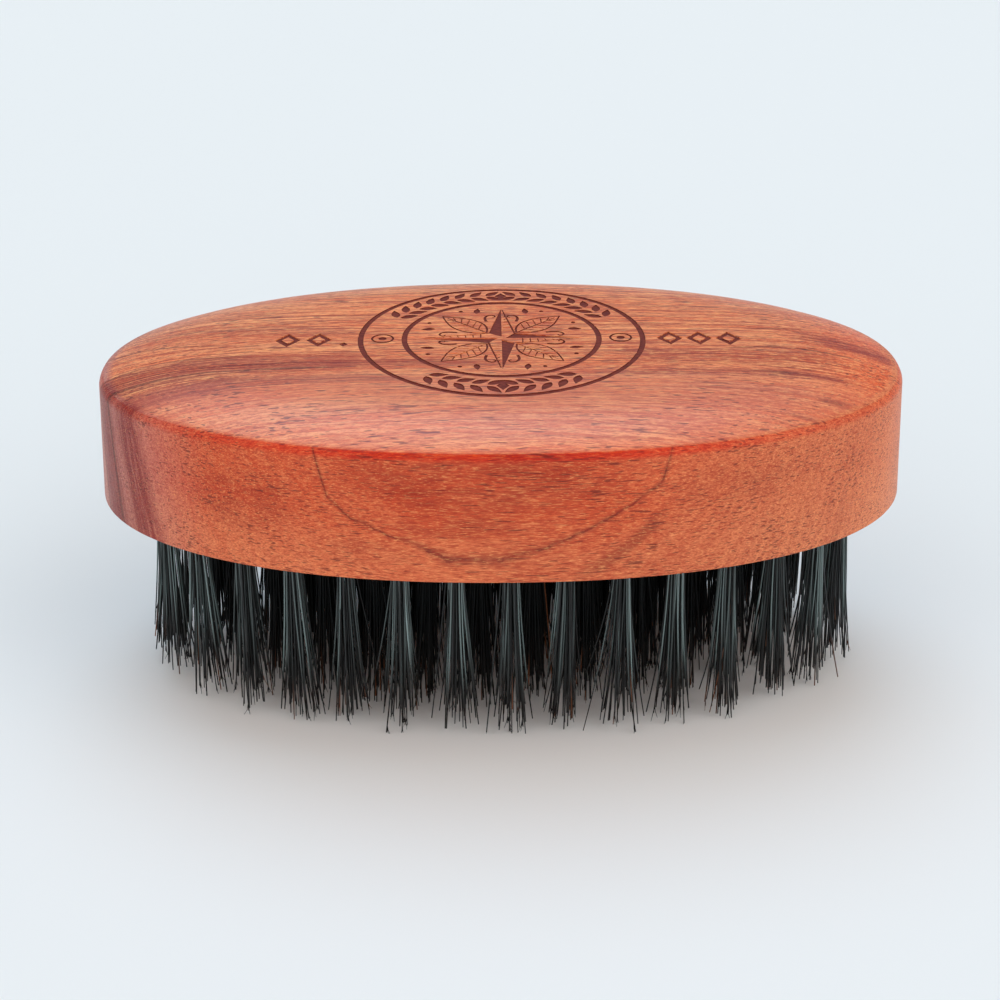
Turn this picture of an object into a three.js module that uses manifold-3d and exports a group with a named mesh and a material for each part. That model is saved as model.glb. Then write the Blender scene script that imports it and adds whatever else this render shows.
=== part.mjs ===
// A palm-sized oval beard brush: one hardwood block with tufts of bristle set in blind holes.
// Millimetres. +X runs along the block, +Y across it and +Z up. z = 0 is the plane the tips stand on.
import * as THREE from 'three';
import { mergeVertices } from 'three/addons/utils/BufferGeometryUtils.js';
import Module from 'manifold-3d';

const wasm = await Module();
wasm.setup();

// ---- driving dimensions ----
const block_length = 110;
const block_width = 61.2;
const bristle_length = 27;        // from the tips to the block's underside
const outline_power = 2.15;       // 2 is an ellipse, and a larger value is squarer
const wall_taper = 0.54;          // how much smaller each half size is at the top of the wall
const crown_base = 17.1;          // height above the underside at which the crown's formula starts
const crown_rise = 3.75;          // the crown's rise from its rim to its middle
const crown_power = 6;            // a high power keeps the middle flat and rolls off near the rim
const rim_radius = 1.6;           // rounding between the crown and the wall
const base_bevel = 0.25;          // small break around the underside
const outline_steps = 72;

const ring_line_radii = [19.1, 13.2];    // middle of each engraved ring line
const ring_line_width = 0.8;
const ring_line_depth = 0.4;
const ring_centre_y = 0.8;
const ring_steps = 48;

const hole_radius = 1.6;
const hole_depth = 7;
const root_radius = 1.18;
const tip_radius = 3.1;
const root_gap = 0.35;            // clearance between a tuft's root and the end of its hole
const merged_tip_distance = 5.4;  // middle to middle, where two splayed tips run together

// Each oval row of tufts: its half sizes, how many tufts it has and where the first one sits.
const tuft_rows = [
  { name: 'tuft_outer', half_x: 47.4, half_y: 21.9, count: 31, first: 0.39, per_node: 1 },
  { name: 'tuft_pair_middle', half_x: 40.0, half_y: 14.8, count: 26, first: 0.07, per_node: 2 },
  { name: 'tuft_pair_inner', half_x: 32.6, half_y: 7.8, count: 18, first: 0.08, per_node: 2 },
];
const centre_row = [
  { name: 'tuft_pair_centre_left', x: [-22.5, -15] },
  { name: 'tuft_centre_left', x: [-7.5] },
  { name: 'tuft_centre', x: [0] },
  { name: 'tuft_centre_right', x: [7.5] },
  { name: 'tuft_pair_centre_right', x: [15, 22.5] },
];

// ---- materials ----
const wood = new THREE.MeshStandardMaterial({ color: 0xb5532f, roughness: 0.45, metalness: 0 });
const bristle = new THREE.MeshStandardMaterial({ color: 0x14191a, roughness: 0.4, metalness: 0 });

// ---- solids ----
function to_solid(geometry) {
  const bare = geometry.clone();
  bare.deleteAttribute('normal');
  bare.deleteAttribute('uv');
  const merged = mergeVertices(bare, 1e-4);
  const vertProperties = new Float32Array(merged.attributes.position.array);
  const triVerts = new Uint32Array(merged.index.array);
  return new wasm.Manifold(new wasm.Mesh({ numProp: 3, vertProperties, triVerts }));
}

function to_geometry(solid) {
  const mesh = solid.getMesh();
  const geometry = new THREE.BufferGeometry();
  geometry.setAttribute('position', new THREE.BufferAttribute(new Float32Array(mesh.vertProperties), 3));
  geometry.setIndex(new THREE.BufferAttribute(new Uint32Array(mesh.triVerts), 1));
  geometry.computeVertexNormals();
  return geometry;
}

// ---- the block's shape ----
const half_length = block_length / 2;
const half_width = block_width / 2;
const top_half_length = half_length - wall_taper;
const top_half_width = half_width - wall_taper;

// Height of the crown above the underside, over the point x, y.
function crown_height(x, y) {
  const across = Math.abs(y / top_half_width) ** outline_power;
  const along = Math.abs(x / top_half_length) ** outline_power;
  const reach = (along + across) ** (1 / outline_power);
  return crown_base + crown_rise * (1 - reach ** crown_power);
}

// How steeply the crown falls away at the point x, y, as an angle.
function crown_tilt(x, y) {
  const step = 0.01;
  const along = (crown_height(x + step, y) - crown_height(x - step, y)) / (2 * step);
  const across = (crown_height(x, y + step) - crown_height(x, y - step)) / (2 * step);
  return Math.atan(Math.hypot(along, across));
}

// A point on the oval with the given half sizes, in the direction of the angle.
function oval_point(angle, half_x, half_y) {
  const c = Math.cos(angle);
  const s = Math.sin(angle);
  const scale = (Math.abs(c / half_x) ** outline_power + Math.abs(s / half_y) ** outline_power)
    ** (-1 / outline_power);
  return [c * scale, s * scale];
}

// One closed loop of the block's surface, from a function that gives a point for each direction.
function block_loop(point_at) {
  const loop = [];
  for (let i = 0; i < outline_steps; i += 1) {
    // Even steps of the ellipse's own angle crowd the points at the two sharp ends.
    const even = (i / outline_steps) * 2 * Math.PI;
    const angle = Math.atan2(Math.sin(even) * half_width, Math.cos(even) * half_length);
    const [x, y, height] = point_at(angle);
    loop.push([x, y, bristle_length + height]);
  }
  return loop;
}

function flat_loop(half_x, half_y, height) {
  return block_loop((angle) => [...oval_point(angle, half_x, half_y), height]);
}

function top_oval(angle, inset) {
  return oval_point(angle, top_half_length - inset, top_half_width - inset);
}

// The rim's rounding, from the crown (share 0) to the wall (share 1). It starts at the crown's own
// slope, so that the two surfaces run into each other without a crease.
function rim_loop(share) {
  return block_loop((angle) => {
    const start = crown_tilt(...top_oval(angle, rim_radius / 2));
    const turn = start + (Math.PI / 2 - start) * share;
    const drop = rim_radius * (Math.cos(start) - Math.cos(turn));
    const edge = crown_height(...top_oval(angle, rim_radius * (1 - Math.sin(start))));
    return [...top_oval(angle, rim_radius * (1 - Math.sin(turn))), edge - drop];
  });
}

function crown_loop(share) {
  const half_x = (top_half_length - rim_radius) * share;
  const half_y = (top_half_width - rim_radius) * share;
  return block_loop((angle) => {
    const [x, y] = oval_point(angle, half_x, half_y);
    return [x, y, crown_height(x, y)];
  });
}

// Skins a stack of loops, from the bottom up, and closes both ends with a fan.
function skin(loops, bottom_point, top_point) {
  const points = [bottom_point, ...loops.flat(), top_point];
  const faces = [];
  const steps = outline_steps;
  const at = (row, i) => 1 + row * steps + (i % steps);
  for (let i = 0; i < steps; i += 1) {
    faces.push(0, at(0, i + 1), at(0, i));
    for (let row = 0; row < loops.length - 1; row += 1) {
      faces.push(at(row, i), at(row, i + 1), at(row + 1, i + 1));
      faces.push(at(row, i), at(row + 1, i + 1), at(row + 1, i));
    }
    faces.push(at(loops.length - 1, i), at(loops.length - 1, i + 1), points.length - 1);
  }
  const geometry = new THREE.BufferGeometry();
  geometry.setAttribute('position', new THREE.Float32BufferAttribute(points.flat(), 3));
  geometry.setIndex(faces);
  return geometry;
}

function plain_block() {
  const loops = [
    flat_loop(half_length - base_bevel, half_width - base_bevel, 0),
    flat_loop(half_length, half_width, base_bevel),
    ...[1, 0.67, 0.33, 0].map(rim_loop),
    ...[0.97, 0.9, 0.8, 0.6].map(crown_loop),
  ];
  return skin(loops, [0, 0, bristle_length], [0, 0, bristle_length + crown_height(0, 0)]);
}

// A round band standing on the middle of the crown, used to cut one engraved ring line.
function ring_line_cutter(radius) {
  const floor = bristle_length + crown_height(0, 0) - ring_line_depth;
  const inner = radius - ring_line_width / 2;
  const outer = radius + ring_line_width / 2;
  const profile = [[inner, 0], [outer, 0], [outer, 3], [inner, 3], [inner, 0]];
  const band = new THREE.LatheGeometry(profile.map(([r, z]) => new THREE.Vector2(r, z)), ring_steps);
  band.rotateX(Math.PI / 2);
  band.translate(0, ring_centre_y, floor);
  return to_solid(band);
}

function hole_cutter([x, y]) {
  const drill = new THREE.CylinderGeometry(hole_radius, hole_radius, hole_depth + 1, 10);
  drill.rotateX(Math.PI / 2);
  drill.translate(x, y, bristle_length + (hole_depth - 1) / 2);
  return to_solid(drill);
}

// ---- the tufts ----
// One tuft's splayed outline as radius and height, from its tips up to its root in the hole.
function tuft_profile() {
  const root_end = bristle_length + hole_depth - root_gap;
  return [
    [0, 0],
    [tip_radius * 0.8, 0],
    [tip_radius, 1.6],
    [root_radius * 1.55, bristle_length * 0.45],
    [root_radius, bristle_length - 1],
    [root_radius, root_end],
    [0, root_end],
  ];
}

// A tuft with its root at x, y, leaning so that its tips are moved by the given amounts.
function tuft_solid([x, y], [lean_x, lean_y]) {
  const shape = new THREE.LatheGeometry(tuft_profile().map(([r, z]) => new THREE.Vector2(r, z)), 8);
  shape.rotateX(Math.PI / 2);
  const position = shape.attributes.position;
  for (let i = 0; i < position.count; i += 1) {
    const free = Math.max(0, 1 - position.getZ(i) / (bristle_length - 1));
    position.setX(i, position.getX(i) + x + lean_x * free);
    position.setY(i, position.getY(i) + y + lean_y * free);
  }
  return to_solid(shape);
}

// One tuft stands straight. Two tufts lean together, so that their tips run into one brush end.
function tuft_geometry(roots) {
  if (roots.length === 1) {
    return to_geometry(tuft_solid(roots[0], [0, 0]));
  }
  const [a, b] = roots;
  const apart = Math.hypot(b[0] - a[0], b[1] - a[1]);
  const share = (1 - merged_tip_distance / apart) / 2;
  const lean = [(b[0] - a[0]) * share, (b[1] - a[1]) * share];
  const joined = tuft_solid(a, lean).add(tuft_solid(b, [-lean[0], -lean[1]]));
  return to_geometry(joined);
}

// Places count tufts at even spacing along an oval.
function oval_places({ half_x, half_y, count, first }) {
  const walk = 2000;
  const track = [];
  let travelled = 0;
  for (let i = 0; i <= walk; i += 1) {
    const point = oval_point((i / walk) * 2 * Math.PI, half_x, half_y);
    if (i > 0) {
      const [px, py] = track[i - 1].point;
      travelled += Math.hypot(point[0] - px, point[1] - py);
    }
    track.push({ point, travelled });
  }
  const places = [];
  for (let k = 0; k < count; k += 1) {
    const target = ((k + first) / count) * travelled;
    places.push(track.find((step) => step.travelled >= target).point);
  }
  return places;
}

// ---- assembly ----
const brush = new THREE.Group();
const roots = [];

function add_piece(name, geometry, material) {
  const mesh = new THREE.Mesh(geometry, material);
  mesh.name = name;
  brush.add(mesh);
}

for (const row of tuft_rows) {
  const places = oval_places(row);
  for (let k = 0; k < places.length; k += row.per_node) {
    const group = places.slice(k, k + row.per_node);
    const number = String(k / row.per_node + 1).padStart(2, '0');
    add_piece(`${row.name}_${number}`, tuft_geometry(group), bristle);
    roots.push(...group);
  }
}
for (const { name, x } of centre_row) {
  const group = x.map((place) => [place, 0]);
  add_piece(name, tuft_geometry(group), bristle);
  roots.push(...group);
}

let block = to_solid(plain_block());
for (const radius of ring_line_radii) {
  block = block.subtract(ring_line_cutter(radius));
}
for (const root of roots) {
  block = block.subtract(hole_cutter(root));
}
add_piece('wood_block', to_geometry(block), wood);

export default brush;
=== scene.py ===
"""The looks of a palm-sized oval beard brush: an oiled hardwood block with burned engraving on its
crown, and tufts of dark natural bristle in the blind holes of its underside.

Sizes are in millimetres until a mesh is made, and MM turns them into metres. +X runs along the
block, +Y across it and +Z up, and z = 0 is the plane that the bristle tips stand on.
"""
import math

import bpy
import numpy as np
from mathutils import Matrix, Vector


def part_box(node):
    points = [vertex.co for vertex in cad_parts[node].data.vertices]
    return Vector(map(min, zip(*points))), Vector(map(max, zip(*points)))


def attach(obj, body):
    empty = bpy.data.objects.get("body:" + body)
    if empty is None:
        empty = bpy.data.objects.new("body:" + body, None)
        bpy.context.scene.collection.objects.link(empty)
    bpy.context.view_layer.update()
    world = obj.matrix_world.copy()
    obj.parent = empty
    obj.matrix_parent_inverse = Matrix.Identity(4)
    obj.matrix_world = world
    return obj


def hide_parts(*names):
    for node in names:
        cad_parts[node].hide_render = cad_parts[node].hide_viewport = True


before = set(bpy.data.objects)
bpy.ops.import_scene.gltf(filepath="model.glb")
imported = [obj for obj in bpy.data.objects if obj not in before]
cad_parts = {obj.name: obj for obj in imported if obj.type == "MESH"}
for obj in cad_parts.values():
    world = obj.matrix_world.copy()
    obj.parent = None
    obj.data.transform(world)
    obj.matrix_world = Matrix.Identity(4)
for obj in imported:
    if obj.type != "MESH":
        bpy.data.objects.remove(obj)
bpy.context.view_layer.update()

MM = 0.001
SEED = 11
QUARTER_TURN = math.pi / 2

# ---- the block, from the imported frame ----
block_low, block_high = (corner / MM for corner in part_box("wood_block"))
HALF_LENGTH = (block_high.x - block_low.x) / 2
HALF_WIDTH = (block_high.y - block_low.y) / 2
UNDERSIDE = block_low.z
CROWN_TOP = block_high.z

OUTLINE_POWER = 2.15        # 2 is an ellipse, and a larger value is squarer
WALL_TAPER = 0.54           # how much smaller each half size is at the top of the wall
CROWN_RISE = 3.75           # from the start of the crown's formula to its middle
CROWN_POWER = 6             # keeps the middle flat and rolls off near the rim
RIM_RADIUS = 1.6
BASE_RADIUS = 0.25
OUTLINE_STEPS = 384
TOP_HALF_LENGTH = HALF_LENGTH - WALL_TAPER
TOP_HALF_WIDTH = HALF_WIDTH - WALL_TAPER
CROWN_BASE = CROWN_TOP - CROWN_RISE

HOLE_RADIUS = 1.38
HOLE_DEPTH = 7.0

# ---- the engraving ----
EMBLEM = Vector((0.1, 0.8))        # middle of the round emblem
ENGRAVING_DEPTH = 0.14
OUTER_RING = 19.13
INNER_RING = 13.2
RING_LINE = 0.76
BAND_MIDDLE = (OUTER_RING + INNER_RING) / 2

# ---- the bristles ----
BRISTLES_PER_TUFT = 46
BRISTLE_RADIUS = 0.11
TUFT_ROOT_RADIUS = 1.1
CLUMPS_PER_TUFT = 5
BRISTLE_SIDES = 5
STRAY_SHARE = 0.05          # how many bristles lean out on their own
SPLIT_SHARE = 0.16          # how many end in a split tip
LOWEST_TIP = 0.03           # the least height of a split end over the standing plane
BROWN_SHARE = 0.005         # how many are brown all along
BROWN_TIP_SHARE = 0.07      # how many are brown at the end
WORN_FROM = 0.95            # how far along the darkest hairs start to look worn


# ================= mesh helpers =================

def make_object(name, vertices, faces, materials):
    """A mesh object from millimetre vertices."""
    mesh = bpy.data.meshes.new(name)
    mesh.from_pydata([(x * MM, y * MM, z * MM) for x, y, z in vertices], [], faces)
    mesh.update()
    for material in materials:
        mesh.materials.append(material)
    piece = bpy.data.objects.new(name, mesh)
    bpy.context.scene.collection.objects.link(piece)
    return piece


def shade_smooth(piece, sharp_angle):
    """Smooth shading, with a hard edge wherever two faces meet at more than the angle in degrees."""
    piece.data.polygons.foreach_set("use_smooth", [True] * len(piece.data.polygons))
    piece.data.set_sharp_from_angle(angle=math.radians(sharp_angle))


def subtract(piece, cutter):
    """Cuts one closed mesh out of another and removes the cutter."""
    cut = piece.modifiers.new("cut", "BOOLEAN")
    cut.operation = "DIFFERENCE"
    cut.solver = "MANIFOLD"
    cut.object = cutter
    bpy.context.view_layer.update()
    evaluated = piece.evaluated_get(bpy.context.evaluated_depsgraph_get())
    result = bpy.data.meshes.new_from_object(evaluated)
    piece.modifiers.remove(cut)
    piece.data = result
    bpy.data.objects.remove(cutter)


# ================= the wooden block =================

def crown_height(x, y):
    """Height of the crown's surface over the point x, y."""
    across = abs(y / TOP_HALF_WIDTH) ** OUTLINE_POWER
    along = abs(x / TOP_HALF_LENGTH) ** OUTLINE_POWER
    reach = (across + along) ** (1 / OUTLINE_POWER)
    return CROWN_BASE + CROWN_RISE * (1 - reach ** CROWN_POWER)


def crown_tilt(x, y):
    """How steeply the crown falls away at the point x, y, as an angle."""
    step = 0.01
    along = (crown_height(x + step, y) - crown_height(x - step, y)) / (2 * step)
    across = (crown_height(x, y + step) - crown_height(x, y - step)) / (2 * step)
    return math.atan(math.hypot(along, across))


def oval_point(angle, half_x, half_y):
    """The oval's point in the direction of the angle."""
    c, s = math.cos(angle), math.sin(angle)
    reach = abs(c / half_x) ** OUTLINE_POWER + abs(s / half_y) ** OUTLINE_POWER
    scale = reach ** (-1 / OUTLINE_POWER)
    return c * scale, s * scale


def top_oval(angle, inset):
    """A point that lies inside the top edge of the wall by the inset."""
    return oval_point(angle, TOP_HALF_LENGTH - inset, TOP_HALF_WIDTH - inset)


def block_loop(point_at):
    """One closed loop of the block's surface, from a function that gives a point for each direction."""
    loop = []
    for i in range(OUTLINE_STEPS):
        even = 2 * math.pi * i / OUTLINE_STEPS
        angle = math.atan2(math.sin(even) * HALF_WIDTH, math.cos(even) * HALF_LENGTH)
        loop.append(point_at(angle))
    return loop


def flat_loop(half_x, half_y, height):
    return block_loop(lambda angle: (*oval_point(angle, half_x, half_y), height))


def rim_loop(share):
    """A loop of the rim's rounding: share is 0 on the crown and 1 on the wall. The rounding starts
    at the crown's own slope, so that the two surfaces run into each other without a crease."""
    def point_at(angle):
        start = crown_tilt(*top_oval(angle, RIM_RADIUS / 2))
        turn = start + (QUARTER_TURN - start) * share
        drop = RIM_RADIUS * (math.cos(start) - math.cos(turn))
        edge = crown_height(*top_oval(angle, RIM_RADIUS * (1 - math.sin(start))))
        return (*top_oval(angle, RIM_RADIUS * (1 - math.sin(turn))), edge - drop)

    return block_loop(point_at)


def base_loop(turn):
    """A loop of the small rounding at the underside: turn is 0 on the underside."""
    inset = BASE_RADIUS * (1 - math.sin(turn))
    rise = BASE_RADIUS * (1 - math.cos(turn))
    return flat_loop(HALF_LENGTH - inset, HALF_WIDTH - inset, UNDERSIDE + rise)


def crown_loop(share):
    def point_at(angle):
        half_x = (TOP_HALF_LENGTH - RIM_RADIUS) * share
        half_y = (TOP_HALF_WIDTH - RIM_RADIUS) * share
        x, y = oval_point(angle, half_x, half_y)
        return x, y, crown_height(x, y)

    return block_loop(point_at)


def block_loops():
    """All the loops of the block, from the middle of the underside to the middle of the crown."""
    loops = [flat_loop(HALF_LENGTH * s, HALF_WIDTH * s, UNDERSIDE) for s in (0.35, 0.7, 0.95)]
    loops += [base_loop(QUARTER_TURN * k / 4) for k in range(5)]
    loops += [rim_loop(1 - k / 12) for k in range(13)]
    loops += [crown_loop((1 - k / 30) ** 0.75) for k in range(1, 30)]
    return loops


def skin(loops, first_point, last_point):
    """Joins a stack of loops with quads and closes both ends with a fan."""
    steps = len(loops[0])
    vertices = [first_point, *(p for loop in loops for p in loop), last_point]
    last = len(vertices) - 1
    faces = []
    for i in range(steps):
        j = (i + 1) % steps
        faces.append((0, 1 + j, 1 + i))
        for row in range(len(loops) - 1):
            here, above = 1 + row * steps, 1 + (row + 1) * steps
            faces.append((here + i, here + j, above + j, above + i))
        top = 1 + (len(loops) - 1) * steps
        faces.append((top + i, top + j, last))
    return vertices, faces


# ================= engraving =================

def ring_outline(x, y, radius, width, steps):
    """A round line as its outer and inner circle."""
    circles = []
    for r in (radius + width / 2, radius - width / 2):
        turn = [2 * math.pi * i / steps for i in range(steps)]
        circles.append([(x + r * math.cos(a), y + r * math.sin(a)) for a in turn])
    return circles


def stroke_outline(points, widths):
    """The outline of a line drawn with a pen of changing width."""
    left, right = [], []
    for i, (x, y) in enumerate(points):
        before = points[max(i - 1, 0)]
        after = points[min(i + 1, len(points) - 1)]
        dx, dy = after[0] - before[0], after[1] - before[1]
        length = math.hypot(dx, dy)
        nx, ny = -dy / length, dx / length
        half = widths[i] / 2
        left.append((x + nx * half, y + ny * half))
        right.append((x - nx * half, y - ny * half))
    return right + left[::-1]


def turned(points, x, y, direction):
    """Points drawn along +X from the origin, moved to x, y and turned to the direction."""
    c, s = math.cos(direction), math.sin(direction)
    return [(x + a * c - b * s, y + a * s + b * c) for a, b in points]


def leaf_side(length, width, steps=9):
    """One side of a pointed leaf along +X, from its stem to its tip."""
    side = []
    for k in range(steps):
        along = k / (steps - 1)
        side.append((length * along, width / 2 * math.sin(math.pi * along ** 0.8)))
    return side


def leaf_outline(x, y, direction, length, width):
    side = leaf_side(length, width)
    under = [(a, -b) for a, b in side[1:-1]]
    return turned(under + side[::-1], x, y, direction)


def diamond_outline(x, y, half_x, half_y):
    return [(x + half_x, y), (x, y + half_y), (x - half_x, y), (x, y - half_y)]


class Prisms:
    """Closed cutting prisms that stay clear of each other. Their floors follow the crown."""

    def __init__(self):
        self.vertices = []
        self.faces = []
        self.boxes = []

    def add_loop(self, outline):
        """The floor and the top points of one outline. Returns their first numbers."""
        floor = len(self.vertices)
        self.vertices += [(x, y, crown_height(x, y) - ENGRAVING_DEPTH) for x, y in outline]
        top = len(self.vertices)
        self.vertices += [(x, y, CROWN_TOP + 1) for x, y in outline]
        return floor, top

    def add_walls(self, floor, top, count, flip):
        for i in range(count):
            j = (i + 1) % count
            wall = (floor + i, floor + j, top + j, top + i)
            self.faces.append(wall[::-1] if flip else wall)

    def fill(self, outline):
        floor, top = self.add_loop(outline)
        count = len(outline)
        self.add_walls(floor, top, count, flip=False)
        self.faces.append(tuple(range(top, top + count)))
        self.faces.append(tuple(reversed(range(floor, floor + count))))

    def frame(self, outer, inner):
        count = len(outer)
        outer_floor, outer_top = self.add_loop(outer)
        inner_floor, inner_top = self.add_loop(inner)
        self.add_walls(outer_floor, outer_top, count, flip=False)
        self.add_walls(inner_floor, inner_top, count, flip=True)
        for i in range(count):
            j = (i + 1) % count
            self.faces.append((outer_top + i, outer_top + j, inner_top + j, inner_top + i))
            self.faces.append((outer_floor + i, inner_floor + i, inner_floor + j, outer_floor + j))


def anticlockwise(outline):
    area = sum(a[0] * b[1] - b[0] * a[1] for a, b in zip(outline, outline[1:] + outline[:1]))
    return outline if area > 0 else outline[::-1]


def boxes_apart(a, b):
    return a[0] > b[2] or b[0] > a[2] or a[1] > b[3] or b[1] > a[3]


class Engraving:
    """Sorts shapes into cutters, so that no shape shares a cutter with one that it may touch."""

    def __init__(self):
        self.cutters = []

    def free_cutter(self, outline):
        """The first cutter that has nothing near the outline."""
        xs = [x for x, y in outline]
        ys = [y for x, y in outline]
        box = (min(xs), min(ys), max(xs), max(ys))
        for cutter in self.cutters:
            if all(boxes_apart(box, other) for other in cutter.boxes):
                break
        else:
            cutter = Prisms()
            self.cutters.append(cutter)
        cutter.boxes.append(box)
        return cutter

    def fill(self, outline):
        """Cuts the inside of an outline."""
        outline = anticlockwise(outline)
        self.free_cutter(outline).fill(outline)

    def line(self, points, width, end_width=None):
        """Cuts a line along the points, which may thin out towards its end."""
        end_width = width if end_width is None else end_width
        last = len(points) - 1
        widths = [width + (end_width - width) * i / last for i in range(len(points))]
        self.fill(stroke_outline(points, widths))

    def frame(self, outer, inner):
        """Cuts the band between two outlines with the same number of points."""
        self.free_cutter(outer).frame(outer, inner)

    def cut_from(self, piece):
        for cutter in self.cutters:
            subtract(piece, make_object("engraving_cutter", cutter.vertices, cutter.faces, []))


def emblem_point(radius, angle):
    return EMBLEM.x + radius * math.cos(angle), EMBLEM.y + radius * math.sin(angle)


def engrave_rings(cut):
    for radius in (OUTER_RING, INNER_RING):
        cut.frame(*ring_outline(EMBLEM.x, EMBLEM.y, radius, RING_LINE, 160))


def engrave_wreath(cut, middle, half_span, pairs):
    """Leaves in pairs along the band between the rings, all pointing to the middle of their arc."""
    leaf_length, leaf_width = 2.75, 1.22
    lean_angle = 0.68
    for side in (-1, 1):
        for k in range(pairs):
            angle = middle + side * half_span * (1 - k / pairs)
            forward = angle - side * QUARTER_TURN
            x, y = emblem_point(BAND_MIDDLE, angle)
            for lean in (-1, 1):
                start = turned([(0.1, lean * 0.24)], x, y, forward)[0]
                cut.fill(leaf_outline(*start, forward + lean * lean_angle, leaf_length, leaf_width))
    x, y = emblem_point(BAND_MIDDLE, middle)
    cut.fill(diamond_outline(x, y, 0.85, 1.35))


def engrave_side_marks(cut):
    """A ringed dot between the two arcs of leaves, on the left and on the right."""
    for angle in (0, math.pi):
        x, y = emblem_point(BAND_MIDDLE, angle)
        cut.frame(*ring_outline(x, y, 1.42, 0.3, 32))
        cut.fill(ring_outline(x, y, 0.42, 0.3, 12)[0])


def engrave_star_point(cut, angle):
    """One point of the compass star: one half is cut solid, and the other is outlined and hatched."""
    length, waist = 10.9, 2.5
    heart_radius = 0.55
    corner = emblem_point(waist, angle + math.pi / 4)
    other = emblem_point(waist, angle - math.pi / 4)
    tip = emblem_point(length, angle)
    cut.fill([emblem_point(heart_radius, angle), tip, corner])
    cut.line([other, emblem_point(length - 0.45, angle - 0.016)], 0.3, 0.16)
    hatches = 7
    for k in range(hatches):
        share = (k + 1) / (hatches + 1.5)
        inner = emblem_point(waist * 0.75 + (length - waist) * share, angle - 0.05)
        edge_x = other[0] + (tip[0] - other[0]) * share
        edge_y = other[1] + (tip[1] - other[1]) * share
        cut.line([inner, (edge_x, edge_y)], 0.17)


def curl_points(radius, angle, side, size):
    """A spiral that leaves a place on the emblem and winds up towards its end."""
    points = []
    x, y = emblem_point(radius, angle)
    heading = angle
    steps = 30
    for k in range(steps):
        points.append((x, y))
        share = k / steps
        heading += side * (0.03 + 0.38 * share ** 1.3)
        x += size * (1 - 0.62 * share) * math.cos(heading)
        y += size * (1 - 0.62 * share) * math.sin(heading)
    return points


def engrave_vein_leaf(cut, angle):
    """A long outlined leaf between two star points, with a middle rib and slanting side veins."""
    start, length, width = 2.9, 8.6, 4.1
    x, y = emblem_point(start, angle)
    side = leaf_side(length, width, 13)
    for flip in (-1, 1):
        cut.line(turned([(a, b * flip) for a, b in side], x, y, angle), 0.3, 0.2)
        for k in range(5):
            root = length * (0.2 + 0.13 * k)
            half = width / 2 * math.sin(math.pi * ((root + 0.9) / length) ** 0.8) - 0.3
            vein = [(root, 0.16 * flip), (root + 0.9, half * flip)]
            cut.line(turned(vein, x, y, angle), 0.2, 0.14)
    cut.line(turned([(0.4, 0), (length - 1.0, 0)], x, y, angle), 0.24, 0.14)


def engrave_curls(cut, angle):
    """A curl, a small leaf and a dot on each side of a vein leaf."""
    for side in (-1, 1):
        cut.line(curl_points(6.4, angle + side * 0.46, side, 0.2), 0.42, 0.2)
        stem = emblem_point(9.7, angle + side * 0.42)
        cut.fill(leaf_outline(*stem, angle + side * 0.9, 2.0, 0.9))
        dot = emblem_point(11.4, angle + side * 0.27)
        cut.fill(ring_outline(*dot, 0.2, 0.24, 10)[0])


def engrave_lozenges(cut):
    """A short row of outlined lozenges on each side of the emblem."""
    row = EMBLEM.y - 0.2
    for x in (-28.9, -24.7, 22.9, 26.9, 30.9):
        cut.frame(diamond_outline(x, row, 1.8, 2.35), diamond_outline(x, row, 0.85, 1.12))
    cut.fill(diamond_outline(-21.3, EMBLEM.y - 1.9, 0.6, 0.75))


def engrave_crown(block):
    cut = Engraving()
    engrave_rings(cut)
    engrave_wreath(cut, QUARTER_TURN, math.radians(62), 8)
    engrave_wreath(cut, -QUARTER_TURN, math.radians(38), 5)
    engrave_side_marks(cut)
    for k in range(4):
        engrave_star_point(cut, QUARTER_TURN * k)
        engrave_vein_leaf(cut, QUARTER_TURN * (k + 0.5))
        engrave_curls(cut, QUARTER_TURN * (k + 0.5))
    engrave_lozenges(cut)
    cut.cut_from(block)


# ================= holes =================

def root_places(node):
    """Middle of each tuft of a CAD node, read from the flat ends of its roots."""
    points = [v.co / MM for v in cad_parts[node].data.vertices]
    top = max(p.z for p in points)
    groups = []
    for p in (p for p in points if p.z > top - 0.05):
        near = [g for g in groups if (g[0].xy - p.xy).length < 3]
        if near:
            near[0].append(p)
        else:
            groups.append([p])
    places = []
    for group in groups:
        low = Vector(min(p[k] for p in group) for k in range(2))
        high = Vector(max(p[k] for p in group) for k in range(2))
        places.append((low + high) / 2)
    return places


def hole_cutter(places):
    """One closed drill shape with a cone tip for each hole."""
    steps = 20
    vertices, faces = [], []
    for place in places:
        first = len(vertices)
        for z in (UNDERSIDE - 1, UNDERSIDE + HOLE_DEPTH):
            for i in range(steps):
                a = 2 * math.pi * i / steps
                side = HOLE_RADIUS * math.cos(a), HOLE_RADIUS * math.sin(a)
                vertices.append((place.x + side[0], place.y + side[1], z))
        vertices.append((place.x, place.y, UNDERSIDE + HOLE_DEPTH + 0.5))
        tip = len(vertices) - 1
        faces.append(tuple(first + i for i in reversed(range(steps))))
        for i in range(steps):
            j = (i + 1) % steps
            faces.append((first + i, first + j, first + steps + j, first + steps + i))
            faces.append((first + steps + i, first + steps + j, tip))
    return make_object("hole_cutter", vertices, faces, [])


def is_cut_in(x, y, z):
    """Whether a point of the crown lies on the engraving's floor."""
    off_the_rim = (x / TOP_HALF_LENGTH) ** 2 + (y / TOP_HALF_WIDTH) ** 2 < 0.6
    over_the_holes = z > UNDERSIDE + HOLE_DEPTH + 5
    return off_the_rim and over_the_holes and z < crown_height(x, y) - ENGRAVING_DEPTH / 4


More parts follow.
